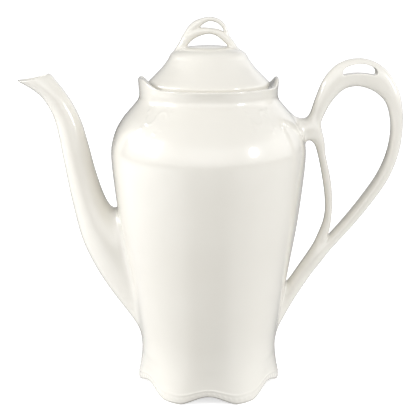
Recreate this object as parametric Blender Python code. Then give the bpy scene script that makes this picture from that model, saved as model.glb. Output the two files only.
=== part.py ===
"""Porcelain coffee pot: a tall shouldered pot with a curved spout and an open-work handle, and its lid.

Each casting that the potter makes on its own is one object. The castings of the pot are joined with
slip before firing, and so are those of the lid. The lid is loose and lifts straight up out of the pot.

Frame: metres, +Z up. The origin is on the pot's axis, on the surface that the foot stands on.
The spout points along -X and the handle along +X.
"""
import math

import bmesh
import bpy
from mathutils import Vector

MM = 0.001

# Driving dimensions, in millimetres
WALL = 4.0
JOINT_GAP = 0.3
LOBES = 6
LOBE_DIRECTION = math.radians(90.0)

# The pot's outer outline, as (radius, height) from the foot to the rim
POT_OUTLINE = [
    (46.5, 0.0), (46.2, 5.0), (45.4, 12.0), (44.9, 22.0), (45.7, 35.0), (48.4, 52.0), (53.1, 81.0),
    (57.8, 111.0), (60.9, 139.0), (61.9, 154.0), (61.2, 162.0), (58.4, 170.5), (53.8, 178.0),
    (48.2, 184.5), (44.2, 189.5), (43.4, 194.0), (44.0, 198.2),
]
FOOT_INNER_RADIUS = 41.2
FOOT_INNER_TAPER = 1.5
FOOT_NOTCH_HEIGHT = 5.8
FOOT_FLAT_CUT = 0.6
FOOT_LOBE_ROUNDNESS = 1.2
FOOT_SWELL = 1.4
FOOT_LOBE_FADE = 24.0
BASE_UNDERSIDE = 8.4
BASE_TOP = 12.4
FLOOR_FILLET = 7.0
FLOOR_FILLET_STEPS = 3

RIM_HEIGHT = 198.2
RIM_EAR_RISE = 4.2
RIM_EAR_INNER_ANGLE = math.radians(10.0)
RIM_EAR_OUTER_ANGLE = math.radians(38.0)
RIM_BORE_RADIUS = 38.6
LEDGE_HEIGHT = 196.2
THROAT_RADIUS = 34.4
THROAT_DEPTH = 3.2
THROAT_UNDERCUT = 1.5
RIM_EDGE_ROUNDING = 0.8

# The lid's outer outline, as (radius, height) from its edge to its crown
LID_OUTLINE = [
    (37.9, 198.0), (37.7, 200.0), (33.2, 204.6), (28.4, 209.6), (25.2, 213.9), (23.2, 217.3),
    (20.0, 219.6), (14.4, 221.3), (7.2, 222.1),
]
LID_CROWN = 222.3

# The underside of the lid's dome, as (radius, height) from its middle down to the collar
LID_UNDERSIDE = [
    (0.0, 219.3), (8.0, 218.9), (14.8, 217.4), (19.8, 214.8), (22.6, 211.4), (26.4, 206.6), (30.6, 202.4),
]
LID_EDGE_ROUNDING = 0.6
COLLAR_RADIUS = 33.6
COLLAR_WALL = 3.0
COLLAR_BOTTOM = 189.0
VENT_RADIUS = 1.6
VENT_CENTRE = (0.0, 16.5, 220.0)
VENT_CUT_LENGTH = 20.0

# The spout, as its outer edge, its inner edge and its half depth at each station from root to mouth
SPOUT_STATIONS = [
    ((-38.5, 26.0), (-48.7, 112.7), 13.0),
    ((-51.6, 43.6), (-57.9, 116.2), 15.0),
    ((-69.3, 69.6), (-64.2, 120.4), 14.6),
    ((-81.4, 94.4), (-68.6, 129.4), 13.0),
    ((-87.6, 119.8), (-72.8, 143.6), 11.0),
    ((-92.4, 148.7), (-76.8, 160.3), 9.2),
    ((-96.2, 172.0), (-80.4, 175.6), 8.2),
    ((-101.3, 184.0), (-84.6, 187.5), 8.2),
    ((-109.6, 193.4), (-90.2, 195.4), 8.6),
    ((-120.4, 200.8), (-95.0, 203.6), 9.0),
]
SPOUT_WALL = 2.6
SPOUT_HOLE_RADIUS = 11.0
SPOUT_HOLE_CENTRE = (-50.0, 0.0, 72.0)
SPOUT_HOLE_TILT = math.radians(-62.0)
SPOUT_HOLE_CUT_LENGTH = 24.0

# The handle's two strands, as (x, height, width across the strand, depth) from root to end
STRAND_STATIONS = [
    (47.3, 170.2, 18.0, 13.4), (58.7, 171.2, 14.8, 12.4), (66.2, 166.8, 9.2, 10.8),
    (72.5, 153.7, 5.2, 9.8), (76.0, 136.6, 5.2, 9.4), (78.0, 118.6, 5.6, 9.1),
    (76.6, 102.8, 6.4, 9.5), (71.0, 88.1, 8.0, 10.3), (62.2, 73.5, 9.0, 11.0),
    (53.4, 59.0, 9.0, 11.4), (45.4, 43.6, 9.4, 11.6), (38.5, 31.2, 9.4, 11.5),
]
LOOP_STATIONS = [
    (64.2, 169.5, 9.0, 9.9), (67.9, 178.2, 8.2, 9.9), (71.9, 188.2, 10.0, 9.9),
    (77.4, 197.8, 13.4, 10.0), (84.6, 204.0, 16.4, 10.0), (94.1, 205.9, 17.4, 10.0),
    (103.4, 203.1, 16.4, 10.2), (111.2, 196.5, 12.8, 10.6), (116.7, 187.0, 9.2, 11.4),
    (119.2, 172.0, 7.2, 11.9), (117.7, 155.8, 7.0, 12.3), (112.0, 139.6, 7.2, 12.3),
    (101.5, 123.0, 7.2, 12.2), (90.0, 107.7, 7.0, 12.0), (78.0, 93.4, 6.9, 11.5),
    (69.8, 83.2, 6.6, 11.1),
]
SLOT_CENTRE = (93.7, 185.2)
SLOT_RADIUS = 22.4
SLOT_HEIGHT = 5.0
SLOT_HALF_ANGLE = math.radians(20.0)
SLOT_REACH = 20.0

# The finial's two arches, as (x, height, width across the arch, depth) from left to right
LOWER_ARCH_STATIONS = [
    (-18.6, 213.3, 11.4, 11.4), (-16.8, 220.6, 8.6, 11.0), (-12.9, 226.3, 6.8, 10.4),
    (-6.9, 229.9, 4.6, 9.8), (0.0, 231.0, 3.3, 9.4), (6.9, 229.3, 3.5, 9.4),
    (12.3, 225.2, 4.4, 9.6), (16.2, 220.2, 6.0, 10.0), (18.6, 212.3, 8.6, 10.4),
]
UPPER_ARCH_STATIONS = [
    (-13.0, 225.9, 5.8, 9.2), (-11.2, 230.3, 7.2, 9.2), (-7.0, 234.1, 6.4, 8.8),
    (-2.4, 237.2, 4.2, 8.2), (2.7, 238.5, 2.9, 7.8), (7.4, 236.6, 2.5, 7.5),
    (10.5, 233.0, 2.4, 7.5), (12.3, 225.6, 2.4, 7.5),
]

POT_SEGMENTS = 60
LID_SEGMENTS = 42
SECTION_SEGMENTS = 14
ROD_SEGMENTS = 20
SLOT_SEGMENTS = 10
SPOUT_SEGMENTS = 22
STRAND_STEPS_PER_SPAN = 2
SPOUT_STEPS_PER_SPAN = 2
OUTLINE_STEPS_PER_SPAN = 2
STRAND_SQUARENESS = 2.6
ROUND_SECTION = 2.0
SHARP_ANGLE = math.radians(50.0)

GLAZE_COLOUR = (0.86, 0.84, 0.79, 1.0)
GLAZE_ROUGHNESS = 0.12


def clear_scene():
    """Remove every object that the file opened with."""
    for old in list(bpy.data.objects):
        bpy.data.objects.remove(old, do_unlink=True)


def glaze(name):
    """Ivory glazed porcelain."""
    material = bpy.data.materials.new(name)
    material.use_nodes = True
    shader = material.node_tree.nodes["Principled BSDF"]
    shader.inputs["Base Color"].default_value = GLAZE_COLOUR
    shader.inputs["Roughness"].default_value = GLAZE_ROUGHNESS
    shader.inputs["Metallic"].default_value = 0.0
    return material


def spline(points, steps):
    """Points on a smooth curve through the given tuples, with this many steps between neighbours."""
    result = []
    last = len(points) - 1
    for i in range(last):
        before = points[max(i - 1, 0)]
        start = points[i]
        end = points[i + 1]
        after = points[min(i + 2, last)]
        for step in range(steps):
            t = step / steps
            result.append(tuple(
                0.5 * (2 * b + (c - a) * t + (2 * a - 5 * b + 4 * c - d) * t ** 2
                       + (3 * b - a - 3 * c + d) * t ** 3)
                for a, b, c, d in zip(before, start, end, after)))
    result.append(tuple(points[last]))
    return result


def lobe(angle):
    """One at the middle of each of the six lobes and zero midway between them."""
    return 0.5 + 0.5 * math.cos(LOBES * (angle - LOBE_DIRECTION))


def foot_lift(angle):
    """How far the foot's lower edge rises above the ground, flat under each lobe."""
    full_rise = FOOT_NOTCH_HEIGHT + FOOT_FLAT_CUT
    return max(0.0, full_rise * (1.0 - lobe(angle)) ** FOOT_LOBE_ROUNDNESS - FOOT_FLAT_CUT)


def rim_lift(angle):
    """How far the rim rises into an ear above the spout and another above the handle."""
    from_ear = abs(math.asin(math.cos(angle)))
    t = (RIM_EAR_OUTER_ANGLE - from_ear) / (RIM_EAR_OUTER_ANGLE - RIM_EAR_INNER_ANGLE)
    t = min(1.0, max(0.0, t))
    return RIM_EAR_RISE * t * t * (3.0 - 2.0 * t)


def pot_point(radius, height, angle, margin=0.0):
    """A point of the lobed pot at this angle from +Y towards +X."""
    foot_share = max(0.0, 1.0 - height / FOOT_LOBE_FADE)
    rim_share = max(0.0, (height - LEDGE_HEIGHT) / (RIM_HEIGHT - LEDGE_HEIGHT))
    swell = FOOT_SWELL * (2.0 * lobe(angle) - 1.0) * foot_share
    r = radius + swell + margin
    z = height + foot_share * foot_lift(angle) + rim_share * rim_lift(angle)
    return (r * math.sin(angle), r * math.cos(angle), z)


def plain_point(radius, height, angle, margin=0.0):
    """A point of a plain turned shape."""
    r = radius + margin
    return (r * math.sin(angle), r * math.cos(angle), height)


def object_from(name, vertices, faces, material):
    """A closed, smooth-shaded object from points in millimetres, with its faces turned outward."""
    mesh = bpy.data.meshes.new(name)
    mesh.from_pydata([Vector(v) * MM for v in vertices], [], faces)
    bm = bmesh.new()
    bm.from_mesh(mesh)
    bmesh.ops.recalc_face_normals(bm, faces=bm.faces)
    bm.to_mesh(mesh)
    bm.free()
    mesh.shade_smooth()
    mesh.set_sharp_from_angle(angle=SHARP_ANGLE)
    item = bpy.data.objects.new(name, mesh)
    bpy.context.collection.objects.link(item)
    if material:
        mesh.materials.append(material)
    return item


def turned(name, outline, segments, place, material, margin=0.0):
    """A solid turned from an outline that starts and ends on the axis, each point (radius, height)."""
    vertices = [(0.0, 0.0, outline[0][1] - margin)]
    for radius, height in outline[1:-1]:
        for k in range(segments):
            vertices.append(place(radius, height, math.tau * k / segments, margin))
    vertices.append((0.0, 0.0, outline[-1][1] + margin))
    rings = len(outline) - 2
    faces = []
    for k in range(segments):
        following = (k + 1) % segments
        faces.append((0, 1 + following, 1 + k))
        for ring in range(rings - 1):
            low = 1 + ring * segments
            high = low + segments
            faces.append((low + k, low + following, high + following, high + k))
        top = 1 + (rings - 1) * segments
        faces.append((top + k, top + following, len(vertices) - 1))
    return object_from(name, vertices, faces, material)


def section_ring(centre, across, half_width, half_depth, segments, squareness):
    """A ring of points round one cross-section, from an oval to a rounded oblong."""
    ring = []
    for k in range(segments):
        angle = math.tau * k / segments
        c = math.cos(angle)
        s = math.sin(angle)
        u = math.copysign(abs(c) ** (2.0 / squareness), c) * half_width
        v = math.copysign(abs(s) ** (2.0 / squareness), s) * half_depth
        ring.append((centre[0] + across[0] * u, v, centre[1] + across[1] * u))
    return ring


def bridge(rings, segments):
    """Faces between rings of points, one after the other."""
    faces = []
    for i in range(len(rings) - 1):
        for k in range(segments):
            following = (k + 1) % segments
            low = i * segments
            high = low + segments
            faces.append((low + k, low + following, high + following, high + k))
    return faces


def strap(name, stations, steps, material, margin=0.0):
    """A solid strap along stations of (x, height, width, depth), its ends closed flat."""
    line = spline(stations, steps)
    rings = []
    for i, (x, z, width, depth) in enumerate(line):
        before = line[max(i - 1, 0)]
        after = line[min(i + 1, len(line) - 1)]
        along = Vector((after[0] - before[0], after[1] - before[1])).normalized()
        across = (along.y, -along.x)
        rings.append(section_ring((x, z), across, width / 2 + margin, depth / 2 + margin,
                                  SECTION_SEGMENTS, STRAND_SQUARENESS))
    faces = bridge(rings, SECTION_SEGMENTS)
    faces.append(tuple(range(SECTION_SEGMENTS)))
    last = (len(rings) - 1) * SECTION_SEGMENTS
    faces.append(tuple(range(last, last + SECTION_SEGMENTS)))
    return object_from(name, [p for ring in rings for p in ring], faces, material)


def spout_rings(shrink):
    """The spout's cross-sections from root to mouth, drawn in by the given amount."""
    stations = [(a[0], a[1], b[0], b[1], depth) for a, b, depth in SPOUT_STATIONS]
    rings = []
    for ax, az, bx, bz, half_depth in spline(stations, SPOUT_STEPS_PER_SPAN):
        across = Vector((ax - bx, az - bz))
        half_width = across.length / 2 - shrink
        across.normalize()
        rings.append(section_ring(((ax + bx) / 2, (az + bz) / 2), across, half_width,
                                  half_depth - shrink, SPOUT_SEGMENTS, ROUND_SECTION))
    return rings


def rod(name, radius, length, centre, tilt):
    """A round rod to cut a hole with, turned about Y from upright by the tilt."""
    bpy.ops.mesh.primitive_cylinder_add(
        vertices=ROD_SEGMENTS, radius=radius * MM, depth=length * MM,
        location=[v * MM for v in centre], rotation=(0.0, tilt, 0.0))
    item = bpy.context.active_object
    item.name = name
    return item


def cut(item, cutter):
    """Take the cutter's shape out of an object."""
    cutter.hide_render = True
    cutter.display_type = 'WIRE'
    modifier = item.modifiers.new("cut_by_" + cutter.name, 'BOOLEAN')
    modifier.operation = 'DIFFERENCE'
    modifier.solver = 'EXACT'
    modifier.object = cutter


def pot_outline_up():
    """The pot's outside, from the foot's lower edge to the rim."""
    return spline(POT_OUTLINE, OUTLINE_STEPS_PER_SPAN)


def pot_inside_down():
    """The pot's inside, from the rim over the lid's ledge and down the wall to the floor."""
    wall_top = LEDGE_HEIGHT - THROAT_DEPTH - THROAT_UNDERCUT
    wall = [(r - WALL, z) for r, z in POT_OUTLINE if BASE_TOP + FLOOR_FILLET < z < wall_top]
    wall.reverse()
    corner_radius = wall[-1][0]
    fillet = []
    for step in range(1, FLOOR_FILLET_STEPS + 1):
        turn = math.radians(90.0) * step / FLOOR_FILLET_STEPS
        fillet.append((corner_radius - FLOOR_FILLET * (1.0 - math.cos(turn)),
                       BASE_TOP + FLOOR_FILLET * (1.0 - math.sin(turn))))
    ledge = [
        (RIM_BORE_RADIUS + RIM_EDGE_ROUNDING, RIM_HEIGHT),
        (RIM_BORE_RADIUS, RIM_HEIGHT - RIM_EDGE_ROUNDING),
        (RIM_BORE_RADIUS, LEDGE_HEIGHT),
        (THROAT_RADIUS, LEDGE_HEIGHT),
        (THROAT_RADIUS, LEDGE_HEIGHT - THROAT_DEPTH),
    ]
    return ledge + wall + fillet


def make_pot_body(material):
    """The pot's shell: lobed foot ring, base, wall, shoulder and the rim that holds the lid."""
    underside = [
        (0.0, BASE_UNDERSIDE),
        (FOOT_INNER_RADIUS - FOOT_INNER_TAPER, BASE_UNDERSIDE),
        (FOOT_INNER_RADIUS, 0.0),
    ]
    outline = underside + pot_outline_up() + pot_inside_down() + [(0.0, BASE_TOP)]
    body = turned("pot_body", outline, POT_SEGMENTS, pot_point, material)
    cut(body, rod("spout_hole_cutter", SPOUT_HOLE_RADIUS, SPOUT_HOLE_CUT_LENGTH, SPOUT_HOLE_CENTRE,
                  SPOUT_HOLE_TILT))
    return body


def make_pot_envelope():
    """The pot's outside grown by the joint gap, which trims the pieces luted to it."""
    outline = [(0.0, FOOT_NOTCH_HEIGHT)] + pot_outline_up() + [(0.0, RIM_HEIGHT)]
    envelope = turned("pot_envelope", outline, POT_SEGMENTS, pot_point, None, margin=JOINT_GAP)
    envelope.hide_render = True
    envelope.display_type = 'WIRE'
    return envelope


def make_spout(material, envelope):
    """The hollow spout, wide at its root and drawn out to a beak at its mouth."""
    outer = spout_rings(0.0)
    inner = spout_rings(SPOUT_WALL)
    rings = outer + inner[::-1]
    faces = bridge(rings + [rings[0]], SPOUT_SEGMENTS)
    count = len(rings) * SPOUT_SEGMENTS
    faces = [tuple(index % count for index in face) for face in faces]
    spout = object_from("spout", [p for ring in rings for p in ring], faces, material)
    cut(spout, envelope)
    return spout


def slot_cutter():
    """A curved slot with round ends, right through the top of the handle."""
    half = SLOT_HEIGHT / 2
    sweep = [SLOT_HALF_ANGLE * (2.0 * i / SLOT_SEGMENTS - 1.0) for i in range(SLOT_SEGMENTS + 1)]
    end = SLOT_HALF_ANGLE + half / SLOT_RADIUS
    points = [(angle, SLOT_RADIUS + half) for angle in sweep]
    points.append((end, SLOT_RADIUS))
    points += [(-angle, SLOT_RADIUS - half) for angle in sweep]
    points.append((-end, SLOT_RADIUS))
    vertices = []
    for y in (-SLOT_REACH, SLOT_REACH):
        for angle, radius in points:
            vertices.append((SLOT_CENTRE[0] + radius * math.sin(angle), y,
                             SLOT_CENTRE[1] + radius * math.cos(angle)))
    n = len(points)
    faces = [tuple(range(n)), tuple(range(n, 2 * n))]
    for k in range(n):
        following = (k + 1) % n
        faces.append((k, following, n + following, n + k))
    return object_from("slot_cutter", vertices, faces, None)


def make_handle(material, envelope):
    """The handle: an inner strand from shoulder to waist, and an outer loop that stands on it."""
    strand = strap("handle_inner_strand", STRAND_STATIONS, STRAND_STEPS_PER_SPAN, material)
    cut(strand, envelope)
    strand_room = strap("strand_room", STRAND_STATIONS, STRAND_STEPS_PER_SPAN, None, JOINT_GAP)
    loop = strap("handle_outer_loop", LOOP_STATIONS, STRAND_STEPS_PER_SPAN, material)
    cut(loop, strand_room)
    cut(loop, slot_cutter())
    return [strand, loop]


def make_lid(material):
    """The lid: a bell-shaped cover with a collar that stands in the pot's throat, and a vent hole."""
    outside = spline(LID_OUTLINE, OUTLINE_STEPS_PER_SPAN)
    collar_inner = COLLAR_RADIUS - COLLAR_WALL
    underside = LID_UNDERSIDE + [
        (collar_inner, COLLAR_BOTTOM),
        (COLLAR_RADIUS, COLLAR_BOTTOM),
        (COLLAR_RADIUS, LEDGE_HEIGHT + JOINT_GAP),
        (LID_OUTLINE[0][0] - LID_EDGE_ROUNDING, LEDGE_HEIGHT + JOINT_GAP),
    ]
    outline = underside + outside + [(0.0, LID_CROWN)]
    lid = turned("lid_cover", outline, LID_SEGMENTS, plain_point, material)
    cut(lid, rod("vent_cutter", VENT_RADIUS, VENT_CUT_LENGTH, VENT_CENTRE, 0.0))
    return lid


def make_lid_envelope():
    """The lid's outside grown by the joint gap, which trims the finial's feet."""
    outline = [(0.0, LEDGE_HEIGHT)] + spline(LID_OUTLINE, OUTLINE_STEPS_PER_SPAN) + [(0.0, LID_CROWN)]
    return turned("lid_envelope", outline, LID_SEGMENTS, plain_point, None, margin=JOINT_GAP)


def make_finial(material):
    """The finial: a low arch across the lid's crown, and a leaf-shaped arch that springs from it."""
    lower = strap("finial_lower_arch", LOWER_ARCH_STATIONS, STRAND_STEPS_PER_SPAN, material)
    cut(lower, make_lid_envelope())
    lower_room = strap("lower_arch_room", LOWER_ARCH_STATIONS, STRAND_STEPS_PER_SPAN, None, JOINT_GAP)
    upper = strap("finial_upper_arch", UPPER_ARCH_STATIONS, STRAND_STEPS_PER_SPAN, material)
    cut(upper, lower_room)
    return [lower, upper]


def group_under(name, height, items):
    """An empty on the pot's axis that carries the pieces of one body."""
    empty = bpy.data.objects.new(name, None)
    empty.location = (0.0, 0.0, height * MM)
    bpy.context.collection.objects.link(empty)
    bpy.context.view_layer.update()
    for item in items:
        item.parent = empty
        item.matrix_parent_inverse = empty.matrix_world.inverted()


def main():
    clear_scene()
    envelope = make_pot_envelope()
    body = make_pot_body(glaze("pot_glaze"))
    spout = make_spout(glaze("spout_glaze"), envelope)
    handle = make_handle(glaze("handle_glaze"), envelope)
    lid = make_lid(glaze("lid_glaze"))
    finial = make_finial(glaze("finial_glaze"))
    group_under("pot", 0.0, [body, spout] + handle)
    group_under("lid", LEDGE_HEIGHT, [lid] + finial)


main()
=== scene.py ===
"""Looks of the porcelain coffee pot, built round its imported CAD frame.

The pot's body and the lid's cover are turned on fine grids, with their relief in the mesh. The spout, the
handle and the finial are solids given by a distance formula. They are polygonised and moved onto the exact
surface, so they run into the body and the lid through soft fillets, as slip joints do under a glaze.

The stage is arranged for the picture. The visible floor is hidden from reflections, the glaze reflects a
grey card that the camera cannot see, and the camera sees plain white in place of the light tent.

Shapes are worked out in millimetres, in the CAD frame, and turned into metres when a mesh is made.
"""

import math

import bmesh
import bpy
import numpy as np
from mathutils import Matrix, Vector


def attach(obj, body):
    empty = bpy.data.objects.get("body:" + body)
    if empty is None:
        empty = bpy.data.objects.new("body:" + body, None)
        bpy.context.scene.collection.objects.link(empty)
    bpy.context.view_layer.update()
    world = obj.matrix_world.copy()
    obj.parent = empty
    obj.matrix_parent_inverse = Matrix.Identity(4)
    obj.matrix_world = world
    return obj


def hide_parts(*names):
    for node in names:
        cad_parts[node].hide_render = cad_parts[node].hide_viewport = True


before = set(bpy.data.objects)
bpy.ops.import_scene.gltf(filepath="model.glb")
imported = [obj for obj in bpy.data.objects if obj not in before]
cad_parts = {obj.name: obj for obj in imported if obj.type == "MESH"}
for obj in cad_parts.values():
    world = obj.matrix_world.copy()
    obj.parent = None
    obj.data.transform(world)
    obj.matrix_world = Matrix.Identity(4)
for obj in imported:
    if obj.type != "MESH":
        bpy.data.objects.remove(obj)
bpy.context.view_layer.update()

MM = 0.001
TAU = math.tau

# ---------------------------------------------------------------------------------------------------------
# Shapes, in millimetres. Outlines are (radius, height)

POT_OUTLINE = [
    (46.5, 0.0), (46.2, 5.0), (45.4, 12.0), (44.9, 22.0), (45.7, 35.0), (48.4, 52.0), (53.1, 81.0),
    (57.8, 111.0), (60.9, 139.0), (61.9, 154.0), (61.2, 162.0), (58.4, 170.5), (53.8, 178.0),
    (48.2, 184.5), (44.2, 189.5), (43.4, 194.0), (44.0, 198.2),
]
WALL = 4.0
LOBES = 6
LOBE_DIRECTION = math.radians(90.0)
FOOT_INNER_RADIUS = 41.2
FOOT_NOTCH_HEIGHT = 5.8
FOOT_FLAT_CUT = 0.6
FOOT_LOBE_ROUNDNESS = 1.2
FOOT_SWELL = 1.4
FOOT_LOBE_FADE = 24.0
FOOT_RECESS_TAPER = 1.5
FOOT_ROUNDING = 1.2
BASE_UNDERSIDE = 8.4
BASE_TOP = 12.4
BASE_CORNER_INSET = 0.6
BASE_CORNER_ROUNDING = 7.0
# The inside follows the outside between these heights, with rings this far apart
INSIDE_SPAN = (22.0, 191.0)
INSIDE_RING_SPACING = 7.0
UNDERSIDE_RINGS = (0.0, 14.0, 28.0)
BASE_RING = 20.0

# Relief under the glaze: the foot's border with its beads, and the sprays on the shoulder
BORDER_HEIGHT = 6.2
BORDER_RISE = 0.20
BORDER_WIDTH = 0.65
BEAD_HEIGHT = 3.3
BEAD_RISE = 0.32
BEAD_WIDTH = 0.8
BEAD_COUNT = 84
BEAD_ROUNDNESS = 1.5
# Sprays: angles in degrees from the back (+Y) towards the handle (+X), and dots as (sideways, up, width)
SPRAY_ANGLES = (38.0, 142.0, 218.0, 322.0)
SPRAY_HEIGHT = 183.0
SPRAY_RISE = 0.38
SPRAY_DOTS = [(-7.0, -5.5, 0.9), (-3.5, -8.0, 0.8), (8.0, -6.0, 0.9), (-8.5, 3.5, 1.0), (8.5, 3.0, 0.9)]
SPRAY_SCROLL_RADIUS = 3.6
SPRAY_SCROLL_WIDTH = 0.7
SPRAY_SCROLL_FADE = 1.5
RELIEF_FOOT_TOP = 10.0
RELIEF_SHOULDER_BOTTOM = 168.0
# Depth under the outside within which the relief is added
RELIEF_SKIN = 0.8

RIM_HEIGHT = 198.2
RIM_EAR_RISE = 4.9
RIGHT_EAR_FRONT = (4.0, 24.0)
RIGHT_EAR_BACK = (4.0, 24.0)
LEFT_EAR_FRONT = (20.0, 52.0)
LEFT_EAR_BACK = (8.0, 27.0)
RIM_LIP_RADIUS = 42.0
RIM_BORE_RADIUS = 38.6
RIM_ROUNDING = 0.9
LEDGE_HEIGHT = 196.2
LEDGE_ROUNDING = 0.8
THROAT_RADIUS = 34.4
THROAT_BOTTOM = 193.0

LID_OUTLINE = [
    (37.9, 198.0), (37.7, 200.0), (33.2, 204.6), (28.4, 209.6), (25.2, 213.9), (23.2, 217.3),
    (20.0, 219.6), (14.4, 221.3), (7.2, 222.1),
]
LID_CROWN = 222.3
LID_UNDERSIDE = [(0.0, 219.3), (8.0, 218.9), (14.8, 217.4), (19.8, 214.8), (22.6, 211.4), (26.4, 206.6)]
LID_EDGE_RADIUS = 37.9
LID_EDGE_ROUNDING = 0.8
VENT_RADIUS = 1.6
VENT_CENTRE = (0.0, 16.5, 219.0)
VENT_CUT_LENGTH = 14.0
VENT_SEGMENTS = 32
SHARP_ANGLE = math.radians(60.0)
LID_SEAT = 196.5
COLLAR_RADIUS = 33.6
COLLAR_INNER_RADIUS = 30.6
COLLAR_BOTTOM = 189.0
COLLAR_TOP = 202.4
COLLAR_ROUNDING = 1.0
COLLAR_SEAT_ROUNDING = 0.4

# Outer edge, inner edge and half depth of the spout, from root to mouth
SPOUT_STATIONS = [
    ((-38.5, 26.0), (-48.7, 112.7), 13.0), ((-51.6, 43.6), (-57.9, 116.2), 15.0),
    ((-69.3, 69.6), (-64.2, 120.4), 14.6), ((-81.4, 94.4), (-68.6, 129.4), 13.0),
    ((-87.6, 119.8), (-72.8, 143.6), 11.0), ((-92.6, 149.5), (-76.6, 160.0), 9.2),
    ((-96.4, 173.0), (-80.4, 174.5), 8.2), ((-101.0, 185.0), (-85.2, 185.6), 8.2),
    ((-107.8, 193.6), (-90.4, 194.0), 8.6), ((-120.3, 201.0), (-96.2, 201.8), 9.0),
    ((-132.0, 206.0), (-103.0, 210.5), 9.4),
]
MOUTH_TIP = (-120.5, 201.0)
MOUTH_LENGTH = 19.0
MOUTH_RISE = 3.9
LIP_ROUNDING = 1.2
HEEL_ROUNDING = 4.5
MOUTH_CURVE = 2.2
MOUTH_REACH = 1.2
SPOUT_WALL = 2.3
SPOUT_BORE_ROUNDING = 0.8
# Exponent of a section's outline. At 2 it is an ellipse, and more is squarer
SPOUT_SQUARENESS = 2.0
# Opposite corners of the space in which the spout is polygonised. The handle and the finial have theirs too
SPOUT_BOX = ((-123.0, -24.0, 18.0), (-34.0, 24.0, 207.0))

# Middle line of the handle's strands and the finial's arches: (x, height, width across, depth)
STRAND_STATIONS = [
    (47.3, 170.2, 16.5, 13.4), (58.7, 170.1, 13.4, 12.4), (66.0, 168.2, 10.6, 11.2),
    (70.2, 162.6, 7.0, 10.4), (72.4, 153.7, 4.7, 9.8), (76.1, 137.6, 5.0, 9.4),
    (77.9, 124.0, 4.6, 9.1), (77.8, 112.5, 4.5, 9.2), (75.6, 102.0, 6.0, 9.6),
    (70.6, 88.1, 8.0, 10.3), (62.2, 73.5, 9.0, 11.0), (53.4, 59.0, 9.0, 11.4),
    (45.4, 43.6, 9.4, 11.6), (38.5, 31.2, 9.4, 11.5),
]
LOOP_STATIONS = [
    (50.0, 165.0, 6.0, 8.0), (59.0, 167.5, 6.0, 8.0), (64.8, 171.5, 7.4, 9.0),
    (67.9, 178.2, 8.2, 9.9), (71.9, 188.2, 10.0, 9.9),
    (77.4, 197.8, 13.4, 10.0), (84.6, 204.0, 16.4, 10.0), (94.1, 205.9, 17.4, 10.0),
    (103.4, 203.1, 16.4, 10.2), (111.2, 196.5, 12.8, 10.6), (116.7, 187.0, 9.2, 11.4),
    (119.2, 172.0, 7.2, 11.9), (117.7, 155.8, 7.0, 12.3), (112.0, 139.6, 7.2, 12.3),
    (101.5, 123.0, 7.2, 12.2), (90.0, 107.7, 7.0, 12.0), (78.0, 93.4, 6.9, 11.5),
    (69.8, 83.2, 6.6, 11.1), (62.2, 73.5, 5.0, 8.0), (53.4, 59.0, 5.0, 8.0), (44.0, 43.0, 4.0, 7.0),
]
SLOT_TOP_ARC = (93.9, 192.7, 18.5)
SLOT_BOTTOM_ARC = (93.9, 164.4, 41.0)
SLOT_HALF_LENGTH = 10.8
SLOT_EDGE_ROUNDING = 0.8
SLOT_END_ROUNDING = 3.0
STRAP_SQUARENESS = 2.6
HANDLE_BOX = ((34.0, -15.0, 22.0), (124.0, 15.0, 216.0))
LOWER_ARCH_STATIONS = [
    (-21.0, 212.5, 6.0, 11.2), (-18.6, 218.6, 5.2, 11.2), (-15.7, 223.1, 5.4, 11.0),
    (-12.6, 227.4, 6.3, 10.6), (-8.0, 229.9, 5.6, 10.2), (-3.0, 231.0, 4.4, 9.8),
    (1.5, 231.05, 3.6, 9.4), (6.5, 229.7, 4.4, 9.4), (11.0, 226.4, 4.9, 9.6),
    (14.9, 221.9, 4.4, 10.0), (19.0, 213.8, 5.0, 10.4),
]
UPPER_ARCH_STATIONS = [
    (-14.6, 225.5, 4.4, 9.2), (-11.6, 230.9, 4.8, 9.2), (-7.6, 234.7, 5.2, 8.9),
    (-3.4, 237.2, 3.6, 8.4), (1.0, 238.3, 2.6, 7.9), (5.5, 237.2, 2.7, 7.6),
    (8.7, 234.8, 2.6, 7.5), (10.5, 231.6, 2.4, 7.5), (11.8, 227.0, 2.4, 7.5),
]
FINIAL_BOX = ((-28.0, -9.0, 205.0), (28.0, 9.0, 242.0))

# Softness of the joints and edges under the glaze. The strand's fillets are (height, width)
SPOUT_FILLET = 9.0
HANDLE_FILLET = 5.5
STRAND_FILLETS = [(90.0, 7.0), (99.0, 3.0), (104.0, 1.2), (125.0, 1.2), (155.0, 9.0)]
FINIAL_FILLET = 2.0
ARCH_FILLET = 1.2
EDGE_ROUNDING = 0.9
SKIRT_DEPTH = 1.6
SKIRT_SHARE = 0.86

# Glaze
GLAZE_DARKER = (0.805, 0.779, 0.712, 1.0)
GLAZE_LIGHTER = (0.835, 0.813, 0.752, 1.0)
TONE_SCALE = 14.0
TONE_DETAIL = 3.0
TONE_SPAN = (0.35, 0.7)
GLAZE_ROUGHNESS = 0.22
GLAZE_IOR = 1.55
COAT_IOR = 1.6
COAT_ROUGHNESS = 0.03
WAVE_SCALE = 60.0
WAVE_DETAIL = 2.0
WAVE_STRENGTH = 0.25
WAVE_DEPTH = 0.0002

# Light tent: brightness of its walls by direction (degrees from the camera, left negative), the share of it
# that is left at each height of a direction (0 is level, 1 is overhead), and a factor for the whole
TENT_WALLS = [
    (-180.0, 0.45), (-160.0, 0.20), (-120.0, 0.16), (-98.0, 0.66), (-80.0, 0.80), (-40.0, 0.80),
    (0.0, 0.96), (40.0, 0.90), (65.0, 0.95), (100.0, 1.0), (140.0, 0.66), (180.0, 0.45),
]
TENT_HEIGHTS = [(0.0, 0.42), (0.16, 0.78), (0.34, 0.88), (0.6, 0.54), (1.0, 0.36)]
TENT_LIGHT = 1.95

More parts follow.
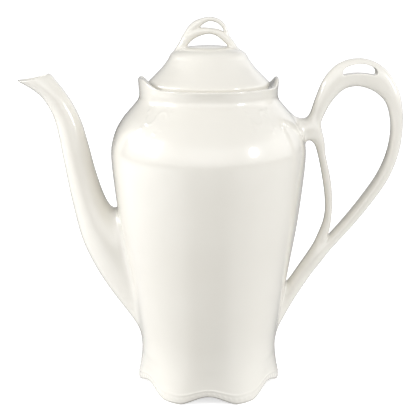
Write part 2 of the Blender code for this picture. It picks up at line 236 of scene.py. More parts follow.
# Softboxes: name, direction (degrees, as above), height (m), shape, width and height of the light (m)
SOFTBOXES = [
    ("left_window", -101.0, 0.56, 'RECTANGLE', 0.34, 0.32),
    ("middle_window", -68.0, 0.56, 'RECTANGLE', 0.30, 0.42),
    ("right_window", 54.0, 0.50, 'ELLIPSE', 0.22, 0.25),
]
SOFTBOX_BRIGHTNESS = 9.0
SOFTBOX_DISTANCE = 1.03
SOFTBOX_TARGET = (0.0, 0.0, 0.12)

# Visible floor, and the grey card under it: half sizes and depth (m), and the card's grey by direction
FLOOR_HALF_SIZE = 60.0
FLOOR_COLOUR = (0.9, 0.9, 0.9, 1.0)
FLOOR_ROUGHNESS = 0.8
FLOOR_GLOW = 0.6
CARD_HALF_SIZE = 2.0
CARD_DEPTH = 0.002
CARD_ROUGHNESS = 0.9
CARD_LEVELS = [
    (-180.0, 0.30), (-140.0, 0.25), (-105.0, 0.85), (-60.0, 0.90), (-40.0, 0.80), (-12.0, 0.20),
    (12.0, 0.20), (40.0, 0.80), (60.0, 0.90), (90.0, 0.88), (125.0, 0.50), (180.0, 0.30),
]

# Camera: lens and sensor (mm), sideways shift (share of the frame's width), place (m), tilt down (degrees)
CAMERA_LENS = 69.4
CAMERA_SENSOR = 36.0
CAMERA_SHIFT = 0.0035714
CAMERA_PLACE = (0.0, -0.50986, 0.25356)
CAMERA_TILT = 15.0

# Steps of the curves, tables and meshes
CURVE_STEPS = 24
SPOUT_GRID = 0.75
HANDLE_GRID = 0.6
FINIAL_GRID = 0.4
TABLE_STEP = 0.5
TABLE_MARGIN = 12.0
HOST_MARGIN = 30.0
LAST_CELL = 1.001
OUT_OF_SPAN_COST = 1e6
BODY_SEGMENTS = 400
FINE_RING_SPACING = 0.55
BODY_RING_SPACING = 2.2
LID_SEGMENTS = 220
LID_RING_SPACING = 0.7

# Moving vertices onto a surface: longest moves (in grid steps), share of a move, least squared slope
SETTLE_REACH = 0.6
RELAX_REACH = 0.4
RELAX_SHARE = 0.5
LEAST_SLOPE = 0.05
TINY = 1e-9
BEYOND_LEAST = 1e-6


# ---------------------------------------------------------------------------------------------------------
# Curves

def spline(points, steps):
    """A Catmull-Rom curve through the rows, with this many steps between neighbours."""
    rows = np.array(points, dtype=float)
    before = np.vstack([rows[:1], rows[:-2]])
    start = rows[:-1]
    end = rows[1:]
    after = np.vstack([rows[2:], rows[-1:]])
    t = (np.arange(steps) / steps)[None, :, None]
    a, b, c, d = (block[:, None, :] for block in (before, start, end, after))
    curve = 0.5 * (2 * b + (c - a) * t + (2 * a - 5 * b + 4 * c - d) * t ** 2
                   + (3 * b - a - 3 * c + d) * t ** 3)
    return np.vstack([curve.reshape(-1, rows.shape[1]), rows[-1:]])


def evenly(points, spacing):
    """The same polyline with its points at about even spacing."""
    points = np.asarray(points, dtype=float)
    lengths = np.r_[0.0, np.cumsum(np.linalg.norm(np.diff(points[:, :2], axis=0), axis=1))]
    count = max(2, int(round(lengths[-1] / spacing)) + 1)
    where = np.linspace(0.0, lengths[-1], count)
    return np.stack([np.interp(where, lengths, column) for column in points.T], axis=1)


POT_CURVE = spline(POT_OUTLINE, CURVE_STEPS)
LID_CURVE = spline(LID_OUTLINE + [(0.0, LID_CROWN)], CURVE_STEPS)


# ---------------------------------------------------------------------------------------------------------
# Distance fields. Each takes points (n, 3) and is negative inside

def smooth_union(a, b, k):
    """The union of two fields with a fillet about k wide."""
    h = np.maximum(k - np.abs(a - b), 0.0) / k
    return np.minimum(a, b) - h ** 3 * k / 6.0


def smooth_cut(a, b, k):
    """What lies in a and not in b, with its edges rounded over about k."""
    return -smooth_union(-a, b, k)


def turned_field(curve):
    """The solid turned from a curve of (radius, height) rows that rise, open below."""
    low = np.array([-TABLE_STEP, curve[0, 1] - TABLE_MARGIN])
    high = np.array([curve[:, 0].max() + HOST_MARGIN, curve[-1, 1] + HOST_MARGIN])
    counts = np.ceil((high - low) / TABLE_STEP).astype(int) + 1
    r, z = np.meshgrid(low[0] + TABLE_STEP * np.arange(counts[0]),
                       low[1] + TABLE_STEP * np.arange(counts[1]), indexing="ij")
    nearest = np.full(r.shape, np.inf)
    for start, end in zip(curve[:-1], curve[1:]):
        along = end - start
        t = ((r - start[0]) * along[0] + (z - start[1]) * along[1]) / (along @ along)
        t = np.clip(t, 0.0, 1.0)
        nearest = np.minimum(nearest, np.hypot(r - start[0] - t * along[0], z - start[1] - t * along[1]))
    inside = (r < np.interp(z, curve[:, 1], curve[:, 0])) & (z < curve[-1, 1])
    table = np.where(inside, -nearest, nearest)[..., None]

    def field(points):
        flat = np.stack([np.hypot(points[:, 0], points[:, 1]), points[:, 2]], axis=1)
        return looked_up(table, low, flat)[0]
    return field


def looked_up(table, low, places):
    """Values of a table of columns at places in its plane, one row for each column."""
    place = np.clip((places - low) / TABLE_STEP, 0.0, np.array(table.shape[:2]) - LAST_CELL)
    cell = place.astype(int)
    fx, fz = (place - cell).T[..., None]
    i, j = cell.T
    return ((table[i, j] * (1 - fx) + table[i + 1, j] * fx) * (1 - fz)
            + (table[i, j + 1] * (1 - fx) + table[i + 1, j + 1] * fx) * fz).T


class Sweep:
    """A solid swept along the plane of spout and handle, given by sections that cross that plane."""

    def __init__(self, sections, squareness, margin=TABLE_MARGIN):
        """sections: rows of (outer x, outer z, inner x, inner z, half depth)."""
        self.squareness = squareness
        rows = np.array(sections, dtype=float)
        xs = np.r_[rows[:, 0], rows[:, 2]]
        zs = np.r_[rows[:, 1], rows[:, 3]]
        self.low = np.array([xs.min() - margin, zs.min() - margin])
        high = np.array([xs.max() + margin, zs.max() + margin])
        counts = np.ceil((high - self.low) / TABLE_STEP).astype(int) + 1
        gx, gz = np.meshgrid(self.low[0] + TABLE_STEP * np.arange(counts[0]),
                             self.low[1] + TABLE_STEP * np.arange(counts[1]), indexing="ij")
        best = np.full(gx.shape, np.inf)
        self.table = np.zeros(gx.shape + (4,))
        for first, second in zip(rows[:-1], rows[1:]):
            sides = [self.side(row, gx, gz) for row in (first, second)]
            gap = sides[0] - sides[1]
            gap = np.where(np.abs(gap) < TINY, TINY, gap)
            t = sides[0] / gap
            between = (t >= 0.0) & (t <= 1.0)
            t = np.clip(t, 0.0, 1.0)
            row = first + (second - first) * t[..., None]
            along_x = row[..., 0] - row[..., 2]
            along_z = row[..., 1] - row[..., 3]
            length = np.hypot(along_x, along_z)
            off_x = gx - (row[..., 0] + row[..., 2]) / 2
            off_z = gz - (row[..., 1] + row[..., 3]) / 2
            across = (off_x * along_x + off_z * along_z) / length
            beyond = np.where(between, 0.0, np.abs(off_x * along_z - off_z * along_x) / length)
            cost = across ** 2 + beyond ** 2 + np.where(between, 0.0, OUT_OF_SPAN_COST)
            better = cost < best
            best = np.where(better, cost, best)
            values = np.stack([across, length / 2, row[..., 4], beyond], axis=-1)
            self.table = np.where(better[..., None], values, self.table)

    @staticmethod
    def side(row, gx, gz):
        """Signed distance from one section's line."""
        along = np.array([row[0] - row[2], row[1] - row[3]])
        along /= np.linalg.norm(along)
        return along[0] * (gz - row[3]) - along[1] * (gx - row[2])

    def local(self, points):
        """At each point: distance across the section, half width, half depth, distance beyond the ends."""
        return looked_up(self.table, self.low, points[:, (0, 2)])

    def __call__(self, points):
        across, half_width, half_depth, beyond = self.local(points)
        n = self.squareness
        u = np.abs(across / half_width) + TINY
        v = np.abs(points[:, 1] / half_depth) + TINY
        size = (u ** n + v ** n) ** (1.0 / n)
        steepness = np.hypot((u / size) ** (n - 1) / half_width, (v / size) ** (n - 1) / half_depth)
        inner = (size - 1.0) / steepness
        return np.where(beyond > BEYOND_LEAST, np.hypot(np.maximum(inner, 0.0), beyond), inner)


def strap_sections(stations, steps=6):
    """Sections square to the middle line, from rows of (x, height, width, depth)."""
    line = spline(stations, steps)
    along = np.gradient(line[:, :2], axis=0)
    along /= np.linalg.norm(along, axis=1)[:, None]
    across = np.stack([along[:, 1], -along[:, 0]], axis=1)
    half = line[:, 2:3] / 2
    return np.hstack([line[:, :2] + across * half, line[:, :2] - across * half, line[:, 3:4] / 2])


def spout_sections(steps=6):
    """The spout's sections, from its stations."""
    return spline([(*a, *b, depth) for a, b, depth in SPOUT_STATIONS], steps)


def slot_field(points):
    """The slot through the top of the handle: between two arcs, with round ends."""
    x = points[:, 0]
    z = points[:, 2]
    above = np.hypot(x - SLOT_TOP_ARC[0], z - SLOT_TOP_ARC[1]) - SLOT_TOP_ARC[2]
    below = SLOT_BOTTOM_ARC[2] - np.hypot(x - SLOT_BOTTOM_ARC[0], z - SLOT_BOTTOM_ARC[1])
    ends = np.abs(x - SLOT_TOP_ARC[0]) - SLOT_HALF_LENGTH
    return smooth_cut(smooth_cut(above, -below, SLOT_EDGE_ROUNDING), -ends, SLOT_END_ROUNDING)


def mouth_field(points):
    """What lies above the spout's lip, which rises from the tip of the beak to its heel."""
    t = np.clip((points[:, 0] - MOUTH_TIP[0]) / MOUTH_LENGTH, 0.0, MOUTH_REACH)
    return MOUTH_TIP[1] + MOUTH_RISE * t ** MOUTH_CURVE - points[:, 2]


def grown_from(host, part, fillet):
    """A part that grows out of a host through a fillet, with a hidden root just under the host's surface."""
    def skin(points):
        return smooth_union(host(points), part(points), fillet)

    def field(points):
        a = host(points)
        b = part(points)
        joined = smooth_union(a, b, fillet)
        return np.maximum(joined, np.maximum(-a - SKIRT_DEPTH, b - fillet * SKIRT_SHARE))
    return field, skin


# ---------------------------------------------------------------------------------------------------------
# Meshes from distance fields

def surface_net(field, low, high, step):
    """Vertices and outward quads near the zero surface, one vertex in each grid cell that it crosses."""
    axes = [np.arange(a, b + step, step) for a, b in zip(low, high)]
    grid = np.stack(np.meshgrid(*axes, indexing="ij"), axis=-1)
    values = field(grid.reshape(-1, 3)).reshape(grid.shape[:3])
    cells = tuple(n - 1 for n in values.shape)
    total = np.zeros(cells + (3,))
    count = np.zeros(cells)
    edges = []
    for axis in range(3):
        start = values.take(range(values.shape[axis] - 1), axis)
        end = values.take(range(1, values.shape[axis]), axis)
        crossing = (start < 0) != (end < 0)
        share = np.where(crossing, start / np.where(crossing, start - end, 1.0), 0.0)
        edges.append((crossing, start < 0))
        others = [o for o in range(3) if o != axis]
        for d0 in (0, 1):
            for d1 in (0, 1):
                window = [slice(None)] * 3
                window[others[0]] = slice(d0, d0 + cells[others[0]])
                window[others[1]] = slice(d1, d1 + cells[others[1]])
                window = tuple(window)
                count += crossing[window]
                total[..., axis] += share[window]
                total[..., others[0]] += crossing[window] * d0
                total[..., others[1]] += crossing[window] * d1
    used = count > 0
    index = np.full(cells, -1)
    index[used] = np.arange(used.sum())
    places = np.argwhere(used) + total[used] / count[used][:, None]
    vertices = np.array(low) + places * step
    quads = []
    for axis, (crossing, inside) in enumerate(edges):
        others = [o for o in range(3) if o != axis]
        starts = np.argwhere(crossing)
        kept = np.ones(len(starts), dtype=bool)
        for other in others:
            kept &= (starts[:, other] >= 1) & (starts[:, other] < values.shape[other] - 1)
        starts = starts[kept]
        e0 = np.eye(3, dtype=int)[others[0]]
        e1 = np.eye(3, dtype=int)[others[1]]
        corners = [starts, starts - e0, starts - e0 - e1, starts - e1]
        quad = np.stack([index[tuple(c.T)] for c in corners], axis=1)
        outward = inside[tuple(starts.T)] != (axis == 1)
        quads.append(np.where(outward[:, None], quad, quad[:, ::-1]))
    return vertices, np.vstack(quads)


def gradient(field, points, reach=0.03):
    """The field's gradient, by central differences."""
    result = np.empty_like(points)
    for axis in range(3):
        shift = np.zeros(3)
        shift[axis] = reach
        result[:, axis] = (field(points + shift) - field(points - shift)) / (2 * reach)
    return result


def settle(field, points, longest, rounds=3):
    """Move points onto the field's zero surface, each by no more than the longest step."""
    for _ in range(rounds):
        slope = gradient(field, points)
        steep = np.maximum((slope ** 2).sum(axis=1), LEAST_SLOPE)
        step = field(points)[:, None] * slope / steep[:, None]
        size = np.linalg.norm(step, axis=1)[:, None]
        points = points - step * np.minimum(1.0, longest / np.maximum(size, TINY))
    return points


def relaxed(field, vertices, quads, step, rounds=2):
    """Vertices evened out along the surface and settled back onto it."""
    for _ in range(rounds):
        total = np.zeros_like(vertices)
        count = np.zeros(len(vertices))
        for k in range(4):
            here = quads[:, k]
            following = quads[:, (k + 1) % 4]
            np.add.at(total, here, vertices[following])
            np.add.at(total, following, vertices[here])
            np.add.at(count, here, 1)
            np.add.at(count, following, 1)
        moved = vertices + RELAX_SHARE * (total / count[:, None] - vertices)
        vertices = settle(field, moved, step * RELAX_REACH)
    return vertices


# ---------------------------------------------------------------------------------------------------------
# Making objects

def make_object(name, vertices, faces, material, normals=None):
    """A smooth-shaded object from points in millimetres."""
    mesh = bpy.data.meshes.new(name)
    if isinstance(faces, np.ndarray):
        faces = faces.tolist()
    mesh.from_pydata((np.asarray(vertices) * MM).tolist(), [], faces)
    mesh.validate()
    mesh.shade_smooth()
    if normals is not None:
        lengths = np.maximum(np.linalg.norm(normals, axis=1), TINY)[:, None]
        mesh.normals_split_custom_set_from_vertices((normals / lengths).tolist())
    item = bpy.data.objects.new(name, mesh)
    bpy.context.scene.collection.objects.link(item)
    mesh.materials.append(material)
    return item


def largest_part(vertices, quads):
    """The mesh without any small pieces that hang apart from it."""
    label = np.arange(len(vertices))
    while True:
        lower = label.copy()
        np.minimum.at(lower, quads.ravel(), np.repeat(label[quads].min(axis=1), 4))
        lower = lower[lower]
        if np.array_equal(lower, label):
            break
        label = lower
    kept = label == np.bincount(label).argmax()
    number = np.cumsum(kept) - 1
    return vertices[kept], number[quads[kept[quads[:, 0]]]]


def solid_object(name, field, skin, low, high, step, material):
    """A closed object on a field's surface. Its shading follows the skin field, which has no hidden edges."""
    vertices, quads = largest_part(*surface_net(field, low, high, step))
    vertices = settle(field, vertices, step * SETTLE_REACH)
    vertices = relaxed(field, vertices, quads, step)
    return make_object(name, vertices, quads, material, gradient(skin, vertices))


def turned_grid(name, outline, segments, place, material):
    """A closed turned object. The outline starts and ends on the axis, and place() bends it."""
    outline = np.asarray(outline, dtype=float)
    angles = TAU * np.arange(segments) / segments
    radius = outline[1:-1, :1]
    height = outline[1:-1, 1:2]
    x, y, z = place(radius, height, angles[None, :])
    rings = np.stack([x, y, z], axis=-1).reshape(-1, 3)
    vertices = np.vstack([[0.0, 0.0, outline[0, 1]], rings, [0.0, 0.0, outline[-1, 1]]])
    count = len(outline) - 2
    k = np.arange(segments)
    following = (k + 1) % segments
    faces = [(0, 1 + b, 1 + a) for a, b in zip(k, following)]
    for ring in range(count - 1):
        low = 1 + ring * segments
        high = low + segments
        faces += list(zip((low + k).tolist(), (low + following).tolist(),
                          (high + following).tolist(), (high + k).tolist()))
    top = 1 + (count - 1) * segments
    faces += [(top + a, top + b, len(vertices) - 1) for a, b in zip(k, following)]
    faces = [tuple(int(i) for i in face) for face in faces]
    return make_object(name, vertices, faces, material)


# ---------------------------------------------------------------------------------------------------------
# Porcelain

def porcelain(name):
    """Ivory glazed porcelain: a warm body under clear glaze, with slight waves and changes of tone."""
    material = bpy.data.materials.new(name)
    material.use_nodes = True
    nodes = material.node_tree.nodes
    links = material.node_tree.links
    shader = nodes["Principled BSDF"]
    place = nodes.new("ShaderNodeTexCoord")

    tone = nodes.new("ShaderNodeTexNoise")
    tone.inputs["Scale"].default_value = TONE_SCALE
    tone.inputs["Detail"].default_value = TONE_DETAIL
    links.new(place.outputs["Object"], tone.inputs["Vector"])
    ramp = nodes.new("ShaderNodeValToRGB")
    ramp.color_ramp.elements[0].position = TONE_SPAN[0]
    ramp.color_ramp.elements[0].color = GLAZE_DARKER
    ramp.color_ramp.elements[1].position = TONE_SPAN[1]
    ramp.color_ramp.elements[1].color = GLAZE_LIGHTER
    links.new(tone.outputs["Fac"], ramp.inputs["Fac"])
    links.new(ramp.outputs["Color"], shader.inputs["Base Color"])

    shader.inputs["Roughness"].default_value = GLAZE_ROUGHNESS
    shader.inputs["IOR"].default_value = GLAZE_IOR
    shader.inputs["Coat Weight"].default_value = 1.0
    shader.inputs["Coat IOR"].default_value = COAT_IOR
    shader.inputs["Coat Roughness"].default_value = COAT_ROUGHNESS

    waves = nodes.new("ShaderNodeTexNoise")
    waves.inputs["Scale"].default_value = WAVE_SCALE
    waves.inputs["Detail"].default_value = WAVE_DETAIL
    links.new(place.outputs["Object"], waves.inputs["Vector"])
    bump = nodes.new("ShaderNodeBump")
    bump.inputs["Strength"].default_value = WAVE_STRENGTH
    bump.inputs["Distance"].default_value = WAVE_DEPTH
    links.new(waves.outputs["Fac"], bump.inputs["Height"])
    links.new(bump.outputs["Normal"], shader.inputs["Normal"])
    return material


# ---------------------------------------------------------------------------------------------------------
# The pot's body

def lobe(angle):
    """One at the middle of each of the six lobes and zero midway between them."""
    return 0.5 + 0.5 * np.cos(LOBES * (angle - LOBE_DIRECTION))


def foot_lift(angle):
    """How far the foot's lower edge rises above the ground."""
    full_rise = FOOT_NOTCH_HEIGHT + FOOT_FLAT_CUT
    return np.maximum(0.0, full_rise * (1.0 - lobe(angle)) ** FOOT_LOBE_ROUNDNESS - FOOT_FLAT_CUT)


def eased(value, start, end):
    """Zero up to start, one from end on, and a smooth rise between."""
    t = np.clip((value - start) / (end - start), 0.0, 1.0)
    return t * t * (3.0 - 2.0 * t)


def rim_lift(angle):
    """How far the rim rises into an ear above the spout and a narrower one above the handle."""
    forward = np.degrees(np.arcsin(-np.cos(angle)))
    lift = 0.0
    ears = ((1.0, RIGHT_EAR_FRONT, RIGHT_EAR_BACK), (-1.0, LEFT_EAR_FRONT, LEFT_EAR_BACK))
    for side, front, back in ears:
        ear = (1.0 - eased(forward, *front)) * (1.0 - eased(-forward, *back))
        lift = lift + np.where(side * np.sin(angle) > 0.0, ear, 0.0)
    return RIM_EAR_RISE * lift


def outside_radius(height):
    """The radius of the pot's outside at this height."""
    return np.interp(height, POT_CURVE[:, 1], POT_CURVE[:, 0])


def relief(radius, height, angle):
    """How far the moulded ornament stands out: a border and beads around the foot, sprays on the shoulder."""
    border = BORDER_RISE * np.exp(-((height - BORDER_HEIGHT) / BORDER_WIDTH) ** 2)
    round_bead = np.maximum(0.0, np.cos(BEAD_COUNT * angle)) ** BEAD_ROUNDNESS
    beads = BEAD_RISE * round_bead * np.exp(-((height - BEAD_HEIGHT) / BEAD_WIDTH) ** 2)
    rise = border + beads
    up = height - SPRAY_HEIGHT
    for middle in SPRAY_ANGLES:
        turn = (angle - math.radians(middle) + math.pi) % TAU - math.pi
        side = turn * radius
        for dot_side, dot_up, dot_width in SPRAY_DOTS:
            distance = np.hypot(side - dot_side, up - dot_up)
            rise = rise + SPRAY_RISE * np.exp(-(distance / dot_width) ** 2)
        for scroll_side, opening in ((-SPRAY_SCROLL_RADIUS, 1.0), (SPRAY_SCROLL_RADIUS, -1.0)):
            distance = np.hypot(side - scroll_side, up)
            curl = np.exp(-((distance - SPRAY_SCROLL_RADIUS) / SPRAY_SCROLL_WIDTH) ** 2)
            rise = rise + SPRAY_RISE * curl * eased(opening * up, -SPRAY_SCROLL_FADE, SPRAY_SCROLL_FADE)
    return rise


def pot_place(radius, height, angle):
    """A point of the lobed pot at this angle from +Y towards +X."""
    foot_share = np.maximum(0.0, 1.0 - height / FOOT_LOBE_FADE)
    rim_share = np.clip((height - LEDGE_HEIGHT) / (RIM_HEIGHT - LEDGE_HEIGHT), 0.0, None)
    r = radius + FOOT_SWELL * (2.0 * lobe(angle) - 1.0) * foot_share
    outer_skin = outside_radius(height)
    r = r + np.where(radius > outer_skin - RELIEF_SKIN, relief(radius, height, angle), 0.0)
    z = height + foot_share * foot_lift(angle) + rim_share * rim_lift(angle)
    return r * np.sin(angle), r * np.cos(angle), z


def plain_place(radius, height, angle):
    """A point of a plain turned shape."""
    return radius * np.sin(angle), radius * np.cos(angle), height + 0.0 * angle


def rounded(corner, before, after, size, steps=5):
    """Points that round off a corner of an outline between two neighbours."""
    corner, before, after = (np.array(p, dtype=float) for p in (corner, before, after))
    start = corner + (before - corner) * min(1.0, size / np.linalg.norm(before - corner))
    end = corner + (after - corner) * min(1.0, size / np.linalg.norm(after - corner))
    t = np.linspace(0.0, 1.0, steps)[:, None]
    return (start * (1 - t) ** 2 + corner * 2 * t * (1 - t) + end * t ** 2).tolist()


def make_body(material):
    """The pot's shell, from the middle of its underside, up the outside and down the inside to the floor."""
    fine = evenly(POT_CURVE, FINE_RING_SPACING).tolist()
    coarse = evenly(POT_CURVE, BODY_RING_SPACING).tolist()
    outside = [point for point in fine if point[1] < RELIEF_FOOT_TOP]
    outside += [point for point in coarse if RELIEF_FOOT_TOP <= point[1] < RELIEF_SHOULDER_BOTTOM]
    outside += [point for point in fine if point[1] >= RELIEF_SHOULDER_BOTTOM]
    foot_inner = (FOOT_INNER_RADIUS, 0.0)
    recess_corner = (FOOT_INNER_RADIUS - FOOT_RECESS_TAPER, BASE_UNDERSIDE)
    rim_outer = outside[-1]
    rim_inner = (RIM_LIP_RADIUS, RIM_HEIGHT)
    bore = (RIM_BORE_RADIUS, LEDGE_HEIGHT)
    outline = [(ring, BASE_UNDERSIDE) for ring in UNDERSIDE_RINGS]
    outline += rounded(recess_corner, (0.0, BASE_UNDERSIDE), foot_inner, FOOT_ROUNDING)
    outline += rounded(foot_inner, recess_corner, outside[0], FOOT_ROUNDING)
    outline += rounded(outside[0], foot_inner, outside[2], FOOT_ROUNDING)
    outline += outside[2:-2]
    outline += rounded(rim_outer, outside[-3], rim_inner, RIM_ROUNDING)
    outline += rounded(rim_inner, rim_outer, bore, RIM_ROUNDING)
    ledge_inner = (THROAT_RADIUS, LEDGE_HEIGHT)
    throat_end = (THROAT_RADIUS, THROAT_BOTTOM)
    outline += rounded(bore, rim_inner, ledge_inner, LEDGE_ROUNDING)
    outline += rounded(ledge_inner, bore, throat_end, LEDGE_ROUNDING)
    outline += [throat_end]
    skin = evenly(POT_CURVE, INSIDE_RING_SPACING).tolist()
    inside = [(r - WALL, z) for r, z in skin if INSIDE_SPAN[0] < z < INSIDE_SPAN[1]]
    outline += inside[::-1]
    corner = (inside[0][0] - BASE_CORNER_INSET, BASE_TOP)
    outline += rounded(corner, inside[0], (0.0, BASE_TOP), BASE_CORNER_ROUNDING, steps=7)
    outline += [(BASE_RING, BASE_TOP), (0.0, BASE_TOP)]
    return turned_grid("porcelain_body", outline, BODY_SEGMENTS, pot_place, material)


def make_spout(material):
    """The spout, run into the body, hollow, with a rounded lip."""
    body = turned_field(POT_CURVE)
    outer = Sweep(spout_sections(), SPOUT_SQUARENESS)
    grown, skin_outer = grown_from(body, outer, SPOUT_FILLET)

    def hollow(points):
        return outer(points) + SPOUT_WALL

    def finished(solid, points):
        shell = smooth_cut(solid, hollow(points), SPOUT_BORE_ROUNDING)
        t = np.clip((points[:, 0] - MOUTH_TIP[0]) / MOUTH_LENGTH, 0.0, 1.0)
        rounding = LIP_ROUNDING + (HEEL_ROUNDING - LIP_ROUNDING) * t ** 3
        return smooth_cut(shell, mouth_field(points), rounding)

    def field(points):
        return finished(grown(points), points)

    def skin(points):
        return finished(skin_outer(points), points)
    return solid_object("porcelain_spout", field, skin, *SPOUT_BOX, SPOUT_GRID, material)


def make_handle(material):
    """The handle: the inner strand and the outer loop, joined together and run into the body."""
    body = turned_field(POT_CURVE)
    strand = Sweep(strap_sections(STRAND_STATIONS), STRAP_SQUARENESS)
    loop = Sweep(strap_sections(LOOP_STATIONS), STRAP_SQUARENESS)

    def straps(points):
        heights, widths = np.array(STRAND_FILLETS).T
        fillet = np.interp(points[:, 2], heights, widths)
        joined = smooth_union(strand(points), loop(points), fillet)
        return smooth_cut(joined, slot_field(points), EDGE_ROUNDING)
    field, skin = grown_from(body, straps, HANDLE_FILLET)
    return solid_object("porcelain_handle", field, skin, *HANDLE_BOX, HANDLE_GRID, material)


# ---------------------------------------------------------------------------------------------------------
# The lid

def drill(item, radius, centre, length):
    """Drill an upright round hole through an object."""
    shape = bmesh.new()
    place = Matrix.Translation(Vector(centre) * MM)
    bmesh.ops.create_cone(shape, cap_ends=True, segments=VENT_SEGMENTS, radius1=radius * MM,
                          radius2=radius * MM, depth=length * MM, matrix=place)
    mesh = bpy.data.meshes.new("drill")
    shape.to_mesh(mesh)
    shape.free()
    cutter = bpy.data.objects.new("drill", mesh)
    bpy.context.scene.collection.objects.link(cutter)
    cut = item.modifiers.new("vent", 'BOOLEAN')
    cut.operation = 'DIFFERENCE'
    cut.solver = 'EXACT'
    cut.object = cutter
    bpy.context.view_layer.update()
    drilled = bpy.data.meshes.new_from_object(item.evaluated_get(bpy.context.evaluated_depsgraph_get()))
    item.modifiers.remove(cut)
    item.data = drilled
    drilled.shade_smooth()
    drilled.set_sharp_from_angle(angle=SHARP_ANGLE)
    bpy.data.objects.remove(cutter)


def make_lid(material):
    """The lid's cover with its collar."""
    outside = evenly(LID_CURVE, LID_RING_SPACING).tolist()
    dome_edge = LID_UNDERSIDE[-1]
    collar_top = (COLLAR_INNER_RADIUS, COLLAR_TOP)
    collar_inner = (COLLAR_INNER_RADIUS, COLLAR_BOTTOM)
    collar_outer = (COLLAR_RADIUS, COLLAR_BOTTOM)
    seat_inner = (COLLAR_RADIUS, LID_SEAT)
    seat_outer = (LID_EDGE_RADIUS, LID_SEAT)
    outline = list(LID_UNDERSIDE)
    outline += rounded(collar_top, dome_edge, collar_inner, COLLAR_ROUNDING)
    outline += rounded(collar_inner, collar_top, collar_outer, COLLAR_ROUNDING)
    outline += rounded(collar_outer, collar_inner, seat_inner, COLLAR_ROUNDING)
    outline += rounded(seat_inner, collar_outer, seat_outer, COLLAR_SEAT_ROUNDING, steps=3)
    outline += rounded(seat_outer, seat_inner, outside[0], LID_EDGE_ROUNDING)
    outline += outside
    lid = turned_grid("porcelain_lid", outline, LID_SEGMENTS, plain_place, material)
    drill(lid, VENT_RADIUS, VENT_CENTRE, VENT_CUT_LENGTH)
    return lid


def make_finial(material):
    """The finial's two arches, run into each other and into the lid."""
    cover = turned_field(LID_CURVE)
    lower = Sweep(strap_sections(LOWER_ARCH_STATIONS), STRAP_SQUARENESS)
    upper = Sweep(strap_sections(UPPER_ARCH_STATIONS), STRAP_SQUARENESS)

    def arches(points):
        return smooth_union(lower(points), upper(points), ARCH_FILLET)
    field, skin = grown_from(cover, arches, FINIAL_FILLET)
    return solid_object("porcelain_finial", field, skin, *FINIAL_BOX, FINIAL_GRID, material)


# ---------------------------------------------------------------------------------------------------------
# Stage

def plain(name, roughness):
    """A plain material for the floor or the grey card, with its shader."""
    material = bpy.data.materials.new(name)
    material.use_nodes = True
    shader = material.node_tree.nodes["Principled BSDF"]
    shader.inputs["Roughness"].default_value = roughness
    return material, shader


def level_square(name, half, height):
    """A level square sheet around the pot's axis."""
    mesh = bpy.data.meshes.new(name)
    corners = [(-half, -half, height), (half, -half, height), (half, half, height), (-half, half, height)]
    mesh.from_pydata(corners, [], [(0, 1, 2, 3)])
    item = bpy.data.objects.new(name, mesh)
    bpy.context.scene.collection.objects.link(item)
    return item


def make_floor():
    """A pale floor with light of its own. It is hidden from reflections, bounced light and shadow rays."""
    floor = level_square("floor", FLOOR_HALF_SIZE, 0.0)
    material, shader = plain("floor_white", FLOOR_ROUGHNESS)
    shader.inputs["Base Color"].default_value = FLOOR_COLOUR
    shader.inputs["Emission Color"].default_value = (1.0, 1.0, 1.0, 1.0)
    shader.inputs["Emission Strength"].default_value = FLOOR_GLOW
    floor.data.materials.append(material)
    floor.visible_diffuse = False
    floor.visible_glossy = False
    floor.visible_shadow = False


def direction_ramp(tree, across, along, levels):
    """A grey level by compass direction: zero degrees along the second socket, right of it positive."""
    nodes = tree.nodes
    links = tree.links
    azimuth = nodes.new("ShaderNodeMath")
    azimuth.operation = 'ARCTAN2'
    links.new(across, azimuth.inputs[0])
    links.new(along, azimuth.inputs[1])
    around = nodes.new("ShaderNodeMapRange")
    around.inputs["From Min"].default_value = -math.pi
    around.inputs["From Max"].default_value = math.pi
    links.new(azimuth.outputs[0], around.inputs["Value"])
    ramp = nodes.new("ShaderNodeValToRGB")
    ramp.color_ramp.interpolation = 'EASE'
    elements = ramp.color_ramp.elements
    elements.remove(elements[-1])
    for number, (degrees, level) in enumerate(levels):
        position = (degrees + 180.0) / 360.0
        element = elements[0] if number == 0 else elements.new(position)
        element.position = position
        element.color = (level, level, level, 1.0)
    links.new(around.outputs[0], ramp.inputs["Fac"])
    return ramp.outputs["Color"]


def flipped(tree, socket):
    """The socket's value with its sign changed."""
    node = tree.nodes.new("ShaderNodeMath")
    node.operation = 'MULTIPLY'
    node.inputs[1].default_value = -1.0
    tree.links.new(socket, node.inputs[0])
    return node.outputs[0]


def make_grey_card():
    """The card under the pot, hidden from the camera. The glaze shows its dark front as a middle band."""
    card = level_square("grey_card", CARD_HALF_SIZE, -CARD_DEPTH)
    material, shader = plain("card_grey", CARD_ROUGHNESS)
    tree = material.node_tree
    coordinates = tree.nodes.new("ShaderNodeTexCoord")
    parts = tree.nodes.new("ShaderNodeSeparateXYZ")
    tree.links.new(coordinates.outputs["Object"], parts.inputs[0])
    level = direction_ramp(tree, parts.outputs["X"], flipped(tree, parts.outputs["Y"]), CARD_LEVELS)
    tree.links.new(level, shader.inputs["Base Color"])
    card.data.materials.append(material)
    card.visible_camera = False


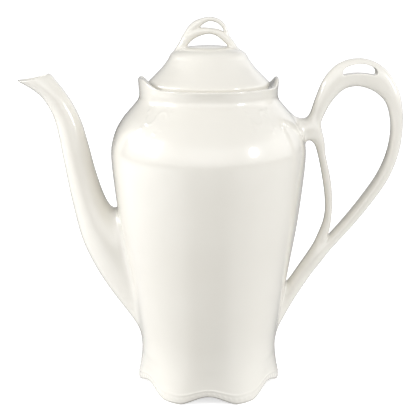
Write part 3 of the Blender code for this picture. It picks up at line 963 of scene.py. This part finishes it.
def softbox(name, azimuth, height, shape, width, tall):
    """A studio light at a compass direction around the pot (0 towards the camera, 90 to its right)."""
    turn = math.radians(azimuth)
    place = Vector((SOFTBOX_DISTANCE * math.sin(turn), -SOFTBOX_DISTANCE * math.cos(turn), height))
    light = bpy.data.lights.new(name, 'AREA')
    light.shape = shape
    light.size = width
    light.size_y = tall
    light.energy = SOFTBOX_BRIGHTNESS * math.pi * width * tall
    item = bpy.data.objects.new(name, light)
    item.location = place
    item.rotation_euler = (Vector(SOFTBOX_TARGET) - place).to_track_quat('-Z', 'Y').to_euler()
    bpy.context.scene.collection.objects.link(item)


def make_world():
    """A light tent, bright in front and at the sides, dim at the back left. The camera sees plain white."""
    world = bpy.data.worlds.new("light_tent")
    world.use_nodes = True
    bpy.context.scene.world = world
    tree = world.node_tree
    nodes = tree.nodes
    links = tree.links
    walls = nodes["Background"]

    direction = nodes.new("ShaderNodeTexCoord")
    parts = nodes.new("ShaderNodeSeparateXYZ")
    links.new(direction.outputs["Generated"], parts.inputs[0])
    level = direction_ramp(tree, parts.outputs["X"], flipped(tree, parts.outputs["Y"]), TENT_WALLS)
    links.new(level, walls.inputs["Color"])

    height = nodes.new("ShaderNodeFloatCurve")
    curve = height.mapping.curves[0]
    curve.points[0].location = TENT_HEIGHTS[0]
    curve.points[1].location = TENT_HEIGHTS[-1]
    for point in TENT_HEIGHTS[1:-1]:
        curve.points.new(*point)
    height.mapping.update()
    links.new(parts.outputs["Z"], height.inputs["Value"])
    strength = nodes.new("ShaderNodeMath")
    strength.operation = 'MULTIPLY'
    strength.inputs[1].default_value = TENT_LIGHT
    links.new(height.outputs[0], strength.inputs[0])
    links.new(strength.outputs[0], walls.inputs["Strength"])

    backdrop = nodes.new("ShaderNodeBackground")
    backdrop.inputs["Color"].default_value = (1.0, 1.0, 1.0, 1.0)
    path = nodes.new("ShaderNodeLightPath")
    choice = nodes.new("ShaderNodeMixShader")
    links.new(path.outputs["Is Camera Ray"], choice.inputs[0])
    links.new(walls.outputs[0], choice.inputs[1])
    links.new(backdrop.outputs[0], choice.inputs[2])
    links.new(choice.outputs[0], nodes["World Output"].inputs["Surface"])


def make_lights():
    """The light tent and the three softboxes, which make the highlights on the shoulder."""
    make_world()
    for row in SOFTBOXES:
        softbox(*row)
    bpy.context.scene.view_settings.view_transform = 'Standard'


def make_camera():
    """The camera, in front of the pot and looking down at it."""
    camera = bpy.data.cameras.new("camera")
    camera.sensor_width = CAMERA_SENSOR
    camera.lens = CAMERA_LENS
    camera.shift_x = CAMERA_SHIFT
    item = bpy.data.objects.new("camera", camera)
    item.location = CAMERA_PLACE
    item.rotation_euler = (math.radians(90.0 - CAMERA_TILT), 0.0, 0.0)
    bpy.context.scene.collection.objects.link(item)
    bpy.context.scene.camera = item


# ---------------------------------------------------------------------------------------------------------
# The whole object

make_camera()
make_lights()
make_floor()
make_grey_card()

pot_glaze = porcelain("pot_porcelain")
lid_glaze = porcelain("lid_porcelain")

body = make_body(pot_glaze)
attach(body, "pot")
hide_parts("pot_body")

spout = make_spout(pot_glaze)
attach(spout, "pot")
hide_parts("spout")

handle = make_handle(pot_glaze)
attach(handle, "pot")
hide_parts("handle_inner_strand", "handle_outer_loop")

lid = make_lid(lid_glaze)
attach(lid, "lid")
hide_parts("lid_cover")

finial = make_finial(lid_glaze)
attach(finial, "lid")
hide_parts("finial_lower_arch", "finial_upper_arch")
